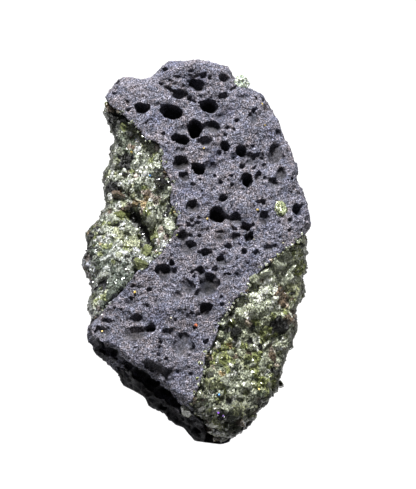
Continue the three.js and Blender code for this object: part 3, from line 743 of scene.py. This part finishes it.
in_pit = stored(tree, "in_pit").outputs["Fac"]
lining = ramp(tree, in_pit, [(0.0, grey(0)), (1.0, grey(0.45))])
colour = mix(tree, lining, colour, (0.118, 0.117, 0.136))
tint = ramp(tree, broad_noise.outputs["Fac"], [
    (0.3, (0.73, 0.765, 0.88)), (0.5, (0.96, 0.97, 0.97)), (0.7, (1.18, 1.1, 1.0)),
])
colour = mix(tree, 1.0, colour, tint, "MULTIPLY")
# Painted shade: the deeper the lava lies below the skin, the darker it is painted, down to nearly black in
# deep pits.
depth = stored(tree, "depth").outputs["Fac"]
painted_pit_shade = ramp(tree, depth, [(0.0, grey(1)), (0.25, grey(0.9)), (0.6, grey(0.45)), (0.9, grey(0.1))])
colour = mix(tree, 1.0, colour, painted_pit_shade, "MULTIPLY")
# Painted shade: the near side is painted nearly black, for the shade it lies in.
near_side_shade = stored(tree, "near_side_shade").outputs["Fac"]
painted_near_side_shade = ramp(tree, near_side_shade, [(0.0, grey(1)), (1.0, (0.085, 0.087, 0.09))])
colour = mix(tree, 1.0, colour, painted_near_side_shade, "MULTIPLY")
links.new(colour, shader.inputs["Base Color"])
relief = add_node(tree, "Bump", Distance=0.36 * MM)
links.new(fine_noise.outputs["Fac"], relief.inputs["Height"])
links.new(ramp(tree, in_pit, [(0.0, grey(1)), (1.0, grey(0.5))]), relief.inputs["Strength"])
links.new(relief.outputs["Normal"], shader.inputs["Normal"])
basalt.data.materials.clear()
basalt.data.materials.append(lava)
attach(basalt, "root")
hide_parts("basalt")

# ---- Olivine nodules -----------------------------------------------------------------------------
# Each nodule is a crumbly mass of grown-together crystals, 1 to 4 mm across: glassy green olivine in
# several tones, a few brown ones and black glossy ones, set close together on a ground painted darker
# than them, as shade between them.
CRYSTAL_COLOURS = {
    "white": (0.64, 0.65, 0.57), "mint": (0.46, 0.485, 0.37), "grey_green": (0.33, 0.345, 0.25),
    "lime": (0.42, 0.44, 0.26), "olive": (0.24, 0.265, 0.1), "deep_green": (0.13, 0.15, 0.1),
    "black": (0.024, 0.024, 0.022), "brown": (0.17, 0.125, 0.085), "honey": (0.5, 0.37, 0.19),
    "blush": (0.42, 0.35, 0.28),
}
CRYSTAL_SHARES = [0.13, 0.24, 0.26, 0.09, 0.1, 0.06, 0.03, 0.04, 0.01, 0.04]  # in the same order
# Patches where one tone prevails: across, up and radius, in mm. Most crystals there take it.
IN_PATCH = 0.75
PATCHES = {
    "white": [[17.5, -15.4, 4], [9.5, -19, 4.5], [24, -7, 3.4], [19, -9, 3], [-27, 5, 2.5],
              [-1.3, -50, 2], [-13, -1, 2.5], [-17, 23.5, 3]],
    "mint": [[25.5, -3.5, 3], [-17.4, 25, 4], [-26, 4, 4.5], [13, -17, 6], [21, -9, 5],
             [10.7, -39.8, 3], [3.8, -42, 2.5], [-14.5, 17, 3], [27, -22.5, 2.4]],
    "lime": [[4.5, -54, 2.6], [29, -6.5, 1.8], [-22.6, 0.6, 2.4], [-26.7, 2.5, 2.2], [25.7, -13, 2.6],
             [9, -50.5, 2.2], [3.8, -41, 1.5]],
    "olive": [[17, -26, 3.4], [27.8, -7, 2.6], [18, -41.5, 3.6], [-25, 9, 3], [14, -35, 2.5],
              [5.5, -34.5, 2.6]],
    "deep_green": [[-26, -12, 6], [-24, 30, 4], [5, -25, 3], [18, -47, 3], [-32, -6, 3], [8, -53, 4]],
    "black": [[-24.6, 25, 2], [-29.4, 17, 2.4], [-34.5, -1.5, 1.8], [-31, -12, 1.6], [-27.5, -15.5, 1.6],
              [-22, -4.5, 1.4], [-32.5, 4.5, 1.4], [-28, 38.5, 2.2], [-12, 10, 1.6], [-13, 18.5, 1.5],
              [21.7, -25, 2.4], [4.3, -51, 2.2], [-21.5, 8, 2.2], [-19.6, 4.5, 2.2], [-18, 1.5, 2],
              [8, -26.5, 2.2], [12, -55, 2]],
    "brown": [[22.6, -15.8, 2.6], [25.6, -22.7, 2.4], [-25.5, 9.5, 1.4]],
    "honey": [[-19.2, 12.5, 1.8], [-22.5, 13, 1.2]],
    "blush": [[-15.5, 13, 1.4]],
    "grey_green": [[-14, 8.5, 2.8]],
}
# The largest crystals, by tone: across, up and radius, in mm.
LARGE_CRYSTALS = {
    "white": [[-1.3, -49.2, 1.5], [16.7, -13.9, 1.7], [9, -29.9, 1.3], [-23.4, 33.2, 1.3], [-21.3, 28.4, 1.4],
              [-23.4, 19, 1.1], [-19.5, 20.8, 1.4], [-21.7, -1.3, 1.5], [-18.3, -2.8, 1.8]],
    "mint": [[10.8, -39.6, 1.5], [6.2, -43.4, 1.5], [7.2, -32.5, 1.5], [13, -35.9, 1.1], [15.6, -19.2, 1.5],
             [23.5, -29.1, 1.5], [-17.2, 28.7, 1.5], [-19, 24.2, 1.8], [-27, 28, 1.2], [-12.3, 17.8, 1.5],
             [-24.7, 14.1, 1.5], [-29.2, 8.1, 1.5], [-31, 4.3, 1.6], [-15.7, -1.3, 1.5],
             [-31.8, -4.6, 1.2], [-30.3, -6.9, 1.2], [-17.2, 4.7, 1.2], [-33, -10.7, 1.2]],
    "lime": [[3.8, -41.9, 1.3], [8.5, -50.1, 2.1], [-26.5, 2.5, 1.7], [-22.8, 1, 1.8], [-26.5, -3.1, 1.5],
             [-30, -14, 1.2], [25.7, -12.8, 1.9]],
    "olive": [[16.7, -26.5, 2.5], [19.2, -21.4, 1.3], [18.4, -41.5, 2.2], [0.8, -35.5, 1.4],
              [4.7, -35.5, 1.6], [-24.7, -0.9, 1.5], [-26.5, 8.8, 1.8], [-30.7, 20.5, 1.2]],
    "grey_green": [[-16.5, 20.8, 1.8]],
    "deep_green": [[4.9, -27.4, 1.8], [-34.5, -2.4, 1.8], [-28.5, -7.6, 1.5]],
    "black": [[21.8, -25.6, 1.6], [4, -51.2, 1.5], [6.4, -47.1, 1.3], [-26.5, 37, 1.8], [-30, 17.5, 1.5],
              [-35.5, 2.9, 1.2], [-33.7, -13.3, 1.2]],
    "brown": [[21.8, -13.2, 1.3], [22.2, -17.5, 1.1], [25.2, -23, 1.3]],
    "honey": [[-19.5, 12.2, 1.5]],
    "blush": [[-24.3, 11.1, 1], [-16.8, 14.5, 1.3], [-12.3, 2.1, 1.1]],
}
# The other grains, the larger ones first: radius in mm, and how many places are tried.
GRAIN_RADII = [(2.5, 480), (1.8, 1200), (1.3, 2700), (0.9, 4500), (0.55, 6600)]
CROWDING = 0.6  # least distance between two grains, per sum of their radii
OPEN_DEPTH = 4.2 * MM  # a nodule's skin further inside the stone than this lies in its socket
SUNK = 0.6  # how far a grain is sunk in the ground, per its radius
STRAYS, STRAYS_TRIED = 70, 12000  # small grains in the lava round each nodule
STRAY_CORNERS = np.array([[-34, -52], [30, 44]]) * MM  # of the part of the view where they may lie
KNOWN_SPREAD = 1.1  # radius of a known crystal, per the radius of what shows of it
CLEARER_SIZES = 1 * MM, 2.4 * MM  # from the first radius to the second, crystals are less fractured
KNOWN_FRACTURED = 0.45  # and the known ones are this fractured
GRAIN_MODELS, CUTS, CUT_DEPTHS = 10, 10, (0.48, 0.8)  # broken crystals to choose from, and their flat faces
# Painted shade: the ground between the grains is painted darker than the grains on it.
GROUND_SHADE = 0.8  # the ground's brightness, per that of the grains on it
GROOVE = 0.9 * MM  # depth of the groove between a nodule and the lava


def grain_model(number):
    """A broken crystal: a ball cut by flat faces."""
    local = np.random.default_rng(100 + number)
    grain = added(bpy.ops.mesh.primitive_ico_sphere_add, subdivisions=1, radius=1.1)
    bpy.ops.object.mode_set(mode="EDIT")
    for _ in range(CUTS):
        way = local.normal(size=3)
        way /= np.linalg.norm(way)
        bpy.ops.mesh.select_all(action="SELECT")
        bpy.ops.mesh.bisect(plane_co=way * local.uniform(*CUT_DEPTHS), plane_no=way, use_fill=True,
                            clear_outer=True)
    bpy.ops.mesh.select_all(action="SELECT")
    bpy.ops.mesh.remove_doubles(threshold=0.1)
    bpy.ops.mesh.quads_convert_to_tris()
    bpy.ops.object.mode_set(mode="OBJECT")
    shape = corners(grain), np.array([face.vertices[:] for face in grain.data.polygons])
    bpy.data.objects.remove(grain)
    return shape


def copied(node, name):
    """A merged copy of one of the part's own solids."""
    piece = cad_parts[node].copy()
    piece.data = piece.data.copy()
    piece.parent = None
    piece.name = piece.data.name = name
    piece.data.materials.clear()
    for key in list(piece.keys()):
        del piece[key]
    bpy.context.collection.objects.link(piece)
    pick(piece)
    bpy.ops.object.mode_set(mode="EDIT")
    bpy.ops.mesh.select_all(action="SELECT")
    bpy.ops.mesh.remove_doubles(threshold=0.001 * MM)
    bpy.ops.mesh.customdata_custom_splitnormals_clear()
    bpy.ops.object.mode_set(mode="OBJECT")
    return piece


def outward(piece):
    """The ways out at a piece's vertices."""
    flat = np.empty(3 * len(piece.data.vertices))
    piece.data.vertices.foreach_get("normal", flat)
    return flat.reshape(-1, 3)


def spread_over(piece, count):
    """Random points on a piece's skin and the ways out there."""
    mesh = piece.data
    mesh.calc_loop_triangles()
    faces = np.array([t.vertices[:] for t in mesh.loop_triangles])
    first, second, third = corners(piece)[faces].transpose(1, 0, 2)
    cross = np.cross(second - first, third - first)
    area = np.linalg.norm(cross, axis=1)
    chosen = chance.choice(len(faces), count, p=area / area.sum())
    u, v = chance.uniform(size=(2, count))
    u, v = np.where(u + v > 1, 1 - u, u)[:, None], np.where(u + v > 1, 1 - v, v)[:, None]
    place = first[chosen] + (second - first)[chosen] * u + (third - first)[chosen] * v
    return place, cross[chosen] / area[chosen][:, None]


def grain_places(ground):
    """Crowded grains on a nodule's open skin: place, way out and radius of each, the known ones first,
    and the tones of the known ones."""
    kept, radii, ways, tones = np.empty((0, 3)), np.empty(0), np.empty((0, 3)), []
    skin = BVHTree.FromObject(ground, bpy.context.evaluated_depsgraph_get())
    for tone, crystals in LARGE_CRYSTALS.items():
        for a, b, size in MM * np.array(crystals):
            start, aim = behind_view(a, b, -60 * MM) + SHIFT, behind_view(a, b, 0) + SHIFT
            hit, out, _, _ = skin.ray_cast(start, aim - start)
            if hit is not None:
                kept, ways = np.vstack([kept, hit]), np.vstack([ways, out])
                radii, tones = np.append(radii, size * KNOWN_SPREAD), tones + [tone]
    for radius, tries in GRAIN_RADII:
        place, way = spread_over(ground, tries)
        open_skin = stone(place - SHIFT) > -OPEN_DEPTH
        for at, out in zip(place[open_skin], way[open_skin]):
            size = radius * MM * chance.uniform(0.85, 1.2)
            size *= 1 - 0.4 * smooth(outline_border(*on_view(at - SHIFT)), -4 * MM, -0.5 * MM)
            if (np.linalg.norm(kept - at, axis=1) > CROWDING * (radii + size)).all():
                kept, ways, radii = np.vstack([kept, at]), np.vstack([ways, out]), np.append(radii, size)
    return kept, ways, radii, tones


def stray_grains(region_border):
    """Places of small grains in the lava just outside a nodule, more of them close to it."""
    a, b = chance.uniform(*STRAY_CORNERS[..., None], (2, STRAYS_TRIED))
    out = region_border(a, b)
    farthest = chance.uniform(0, 2, len(a)) ** 2 * 0.5 * MM
    close = (out > -0.3 * MM) & (out < farthest) & (outline_border(a, b) < -MM)
    return on_rough_skin(a[close][:STRAYS], b[close][:STRAYS]) + SHIFT


def crystal_colours(places, tones):
    """A colour for each grain: the first ones have known tones, and the others go by their patch."""
    names = list(CRYSTAL_COLOURS)
    a, b = on_view(places - SHIFT)
    chosen = chance.choice(len(names), len(places), p=CRYSTAL_SHARES)
    for name, patches in PATCHES.items():
        for x, y, radius in MM * np.array(patches):
            near = np.hypot(a - x, b - y) < radius * chance.uniform(0.6, 1.3, len(places))
            chosen[near & (chance.uniform(size=len(places)) < IN_PATCH)] = names.index(name)
    chosen[:len(tones)] = [names.index(tone) for tone in tones]
    colours = np.array(list(CRYSTAL_COLOURS.values()))[chosen]
    cool = smooth(-a, 8 * MM, 12 * MM) * (0.1 + 0.16 * smooth(-b, -4 * MM, 4 * MM))  # greyer on the left
    colours[:, 2] *= 1.05 + cool

    # Painted shade: the grains are painted darker at the outline, toward the near tip and in the furrow.
    at_outline = smooth(outline_border(a, b), -2.2 * MM, -0.3 * MM)
    at_near_tip = smooth(-b, 40 * MM, 54 * MM)
    upper_right_part = smooth(b, -26 * MM, -18 * MM) * smooth(a, 2 * MM, 8 * MM)  # the upper part of the right one
    painted_shade_and_tone = (1 - 0.7 * at_outline) * (1 - 0.58 * at_near_tip)
    painted_shade_and_tone *= 1 - 0.8 * furrow(a, b, 1.4 * MM)
    painted_shade_and_tone *= 0.62 + 0.15 * upper_right_part
    return colours * (chance.uniform(0.84, 1.16, len(places)) * painted_shade_and_tone)[:, None]


def paint(mesh, colours, fractured=None):
    """Gives each vertex its colour, and in the last channel how fractured the crystal is."""
    fractured = np.ones(len(colours)) if fractured is None else fractured
    layer = mesh.color_attributes.new("crystal", "FLOAT_COLOR", "POINT")
    layer.data.foreach_set("color", np.column_stack([colours, fractured]).ravel())


def vector_math(tree, operation, *values):
    """A vector worked out from others, which may be outputs or plain values."""
    node = tree.nodes.new("ShaderNodeVectorMath")
    node.operation = operation
    for socket, value in zip(node.inputs, values):
        if isinstance(value, bpy.types.NodeSocket):
            tree.links.new(value, socket)
        else:
            socket.default_value = value
    return node.outputs[0]


olivine, tree, shader = new_material("olivine", Roughness=0.16, IOR=1.67, Transmission_Weight=0.15,
                                     Subsurface_Weight=0.5, Subsurface_Radius=(1.0, 1.0, 0.7),
                                     Subsurface_Scale=1.2 * MM)
links = tree.links
coordinates = tree.nodes.new("ShaderNodeTexCoord").outputs["Object"]
crystal = stored(tree, "crystal")
facets = add_node(tree, "TexVoronoi", Scale=1150, Randomness=1)
chips = add_node(tree, "TexVoronoi", Scale=2900, Randomness=1)
cloud = add_node(tree, "TexNoise", Scale=1700, Detail=3, Roughness=0.7)
for node in (facets, chips, cloud):
    links.new(coordinates, node.inputs["Vector"])
fractured = ramp(tree, facets.outputs["Color"], [
    (0.15, (0.66, 0.69, 0.6)), (0.42, (0.93, 0.95, 0.88)), (0.65, (1.08, 1.08, 1.03)),
    (0.85, (1.3, 1.29, 1.27)),
])
# Painted glints and fractures: the brightest chips stand partly for pale fractures and partly for glints.
chips_and_painted_glints = ramp(tree, chips.outputs["Color"], [
    (0.12, (0.15, 0.15, 0.13)), (0.4, (0.72, 0.71, 0.67)), (0.62, (1.2, 1.21, 1.21)), (0.84, (2.4, 2.4, 2.5)),
])
veiled = ramp(tree, cloud.outputs["Fac"], [
    (0.34, (0.55, 0.57, 0.52)), (0.5, (1.0, 1.0, 0.97)), (0.68, (1.45, 1.45, 1.5)),
])
colour = crystal.outputs["Color"]
for broken in (fractured, chips_and_painted_glints, veiled):
    colour = mix(tree, 1.0, colour, broken, "MULTIPLY")
colour = mix(tree, crystal.outputs["Alpha"], crystal.outputs["Color"], colour)
links.new(colour, shader.inputs["Base Color"])

# Each small fracture face is turned its own way, and each chip on it a little more.
FACE_TURN, CHIP_TURN = 0.65, 0.5
facing = tree.nodes.new("ShaderNodeNewGeometry").outputs["Normal"]
turned = vector_math(tree, "MULTIPLY_ADD", facets.outputs["Color"], grey(FACE_TURN), facing)
turned = vector_math(tree, "MULTIPLY_ADD", chips.outputs["Color"], grey(CHIP_TURN), turned)
turned = vector_math(tree, "SUBTRACT", turned, grey((FACE_TURN + CHIP_TURN) / 2))
turned = vector_math(tree, "NORMALIZE", turned)
calmer = tree.nodes.new("ShaderNodeMix")
calmer.data_type = "VECTOR"  # the clear crystals keep their own faces
links.new(crystal.outputs["Alpha"], calmer.inputs[0])
links.new(facing, calmer.inputs[4])
links.new(turned, calmer.inputs[5])
links.new(calmer.outputs[1], shader.inputs["Normal"])

crumbled = olivine.copy()  # the ground between the grains is the same, but dull
crumbled.name = "crumbled_olivine"
dull = crumbled.node_tree.nodes["Principled BSDF"].inputs
for name, value in (("Roughness", 0.6), ("Specular IOR Level", 0.2), ("Transmission Weight", 0)):
    dull[name].default_value = value


def crumbled_ground(side, region_border):
    """What lies between a nodule's grains: its solid, brought to the stone's skin and crumbled."""
    ground = copied("olivine_nodule_" + side, "nodule_ground_" + side)
    finish_with(ground, "REMESH", mode="VOXEL", voxel_size=0.42 * MM)
    finish_with(ground, "SMOOTH", factor=0.6, iterations=3)
    places = corners(ground) - SHIFT
    a, b = on_view(places)
    below, to_outline = -stone(places), outline_border(a, b)
    lift = np.where(below < 3.6 * MM, 0.7 * np.clip(below - 0.4 * MM, 0, 2 * MM), 0)
    lift += smooth(to_outline, -3 * MM, -MM) * (0.7 + 0.6 * smooth(-b, 22 * MM, 42 * MM)) * MM
    lift -= GROOVE * smooth(region_border(a, b), -1.8 * MM, -0.5 * MM)
    lift -= 2.6 * MM * furrow(a, b, 1.7 * MM)
    set_corners(ground, corners(ground) + outward(ground) * lift[:, None])

    to_outline = outline_border(*on_view(corners(ground) - SHIFT))
    weigh(ground, "inner", 1 - 0.8 * smooth(to_outline, -4 * MM, -MM))
    for name, size, strength in (("clumps_", 4.2 * MM, 2.1 * MM), ("crumbs_", 1.5 * MM, 0.6 * MM)):
        finish_with(ground, "DISPLACE", texture=clouds(name + side, size, 1), strength=strength,
                    mid_level=0.6, vertex_group="inner")
    set_corners(ground, held_in(corners(ground) - SHIFT, 0.1 * MM) + SHIFT)
    return ground


def broken_grain(place, radius):
    """One grain at a place: any of the broken crystals, stretched and turned."""
    shape, faces = grain_models[chance.integers(len(grain_models))]
    turn = np.array(Euler(chance.uniform(0, FULL_TURN, 3)).to_matrix())
    return (shape * chance.uniform(0.8, 1.2, 3) * radius) @ turn + place, faces


grain_models = [grain_model(i) for i in range(GRAIN_MODELS)]
for side, region_border in (("left", left_border), ("right", right_border)):
    ground = crumbled_ground(side, region_border)
    places, ways, radii, tones = grain_places(ground)
    strays = stray_grains(region_border)
    places, ways = np.vstack([places, strays]), np.vstack([ways, 0 * strays + TOWARD])
    radii = np.append(radii, chance.uniform(0.35, 0.9, len(strays)) * MM)
    colours = crystal_colours(places, tones)

    finder = KDTree(len(places))
    for i, place in enumerate(places):
        finder.insert(place, i)
    finder.balance()
    nearest = [finder.find(at)[1] for at in corners(ground)]
    # Painted shade between the grains: the ground takes the nearest grain's colour, darkened.
    paint(ground.data, colours[nearest] * GROUND_SHADE)
    ground.data.materials.append(crumbled)
    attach(ground, "root")

    places = places - ways * radii[:, None] * SUNK
    shapes = [broken_grain(place, radius) for place, radius in zip(places, radii)]
    mass = joined("olivine_grains_" + side, shapes)
    fractured = 1 - 0.4 * smooth(radii, *CLEARER_SIZES)
    fractured[:len(tones)] = KNOWN_FRACTURED
    counts = [len(points) for points, _ in shapes]
    paint(mass.data, np.repeat(colours, counts, axis=0), np.repeat(fractured, counts))
    mass.data.materials.append(olivine)
    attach(mass, "root")
    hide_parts("olivine_nodule_" + side)

# ---- Single grains -------------------------------------------------------------------------------
# One pale green crystal sits in the best side near the right edge, and a clearer one at the far edge.
# Tiny specks lie over the lava and the nodules: the blue and violet ones and the golden ones on the
# nodules are painted glints, and the rest are small golden, cream and rusty grains.
for node, name, colour in (("olivine_grain_face", "face_crystal", (0.27, 0.295, 0.19)),
                           ("olivine_grain_top", "edge_crystal", (0.5, 0.56, 0.5))):
    grain = copied(node, name)
    finish_with(grain, "REMESH", mode="VOXEL", voxel_size=0.16 * MM)
    finish_with(grain, "DISPLACE", texture=clouds("chips_" + name, 1.4 * MM, 1), strength=0.7 * MM,
                mid_level=0.05)
    paint(grain.data, np.tile(colour, (len(grain.data.vertices), 1)))
    grain.data.materials.append(olivine)
    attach(grain, "root")
    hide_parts(node)

SPECK_COLOURS = {"gold": (0.75, 0.5, 0.16), "rust": (0.3, 0.09, 0.05), "blue": (0.1, 0.3, 0.95),
                 "violet": (0.25, 0.1, 0.8), "cream": (0.8, 0.75, 0.55)}
# Across, up, size and tone of each speck, in mm.
SPECKS = [
    [-0.1, 7.7, 0.4, "gold"], [-21.9, -14.2, 0.55, "gold"], [-22.9, 27.8, 0.5, "gold"],
    [-11.1, -22, 0.35, "cream"], [-31.8, -26, 0.35, "gold"], [-1.2, 28.9, 0.3, "gold"],
    [-3.6, -24.2, 0.7, "rust"], [16.2, 42.2, 0.55, "gold"], [17.1, 35.8, 0.4, "gold"],
    [13.8, 1.5, 0.3, "cream"], [22.5, 0.5, 0.3, "cream"], [3.4, -45.1, 0.45, "blue"],
    [3.2, -50.5, 0.4, "violet"], [4.6, -51.4, 0.35, "violet"], [-17.3, 20.7, 0.4, "blue"],
    [15.3, -43.4, 0.4, "gold"], [14.8, 10.5, 0.45, "gold"],
]
shapes, tones = [], []
for (a, b, size, tone), place in zip(SPECKS, seen(*(MM * np.array([speck[:2] for speck in SPECKS]).T))):
    shape, faces = grain_models[chance.integers(len(grain_models))]
    shapes.append((shape * size * MM + place + SHIFT + TOWARD * 0.1 * MM, faces))
    tones.append(np.tile(SPECK_COLOURS[tone], (len(shape), 1)))
specks = joined("glinting_specks", shapes)
paint(specks.data, np.concatenate(tones))
specks.data.materials.append(olivine)
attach(specks, "root")

# ---- Studio --------------------------------------------------------------------------------------
# A plain pale floor under a broad light of its own, one small bright light for the stone from beyond
# it, a faint even fill, and a broad light for the glassy grains alone.
floor = added(bpy.ops.mesh.primitive_plane_add, size=6)
floor.name = "floor"
paper, tree, shader = new_material("paper", Roughness=0.9, Base_Color=(0.86, 0.86, 0.86, 1))
floor.data.materials.append(paper)
all_but_floor = [piece for piece in bpy.data.objects if piece.type == "MESH" and piece != floor]
grains_only = [piece for piece in all_but_floor if piece != basalt]


def soft_light(name, place, size, power, lit):
    """A square soft light turned to the stone, which lights only the given pieces."""
    bpy.ops.object.light_add(type="AREA", location=place)
    light = bpy.context.object
    light.name = name
    light.data.size, light.data.energy = size, power
    light.rotation_euler = (Vector(AIM) - Vector(place)).to_track_quat("-Z", "Y").to_euler()
    light.light_linking.receiver_collection = bpy.data.collections.new("lit_by_" + name)
    for piece in lit:
        light.light_linking.receiver_collection.objects.link(piece)
    return light


soft_light("key", (-0.05, 0.61, 0.69), 0.13, 21.5, all_but_floor)
overhead = soft_light("overhead", (0, 0, 3), 5, 230, [floor])
overhead.light_linking.blocker_collection = overhead.light_linking.receiver_collection
soft_light("fill", (0, -0.1, 2.5), 2.5, 9, grains_only)
world = bpy.data.worlds.new("studio")
bpy.context.scene.world = world
world.use_nodes = True
even_fill = world.node_tree.nodes["Background"].inputs
even_fill["Color"].default_value = (1, 1, 1, 1)
even_fill["Strength"].default_value = 0.06
bpy.context.scene.view_settings.view_transform = "Standard"
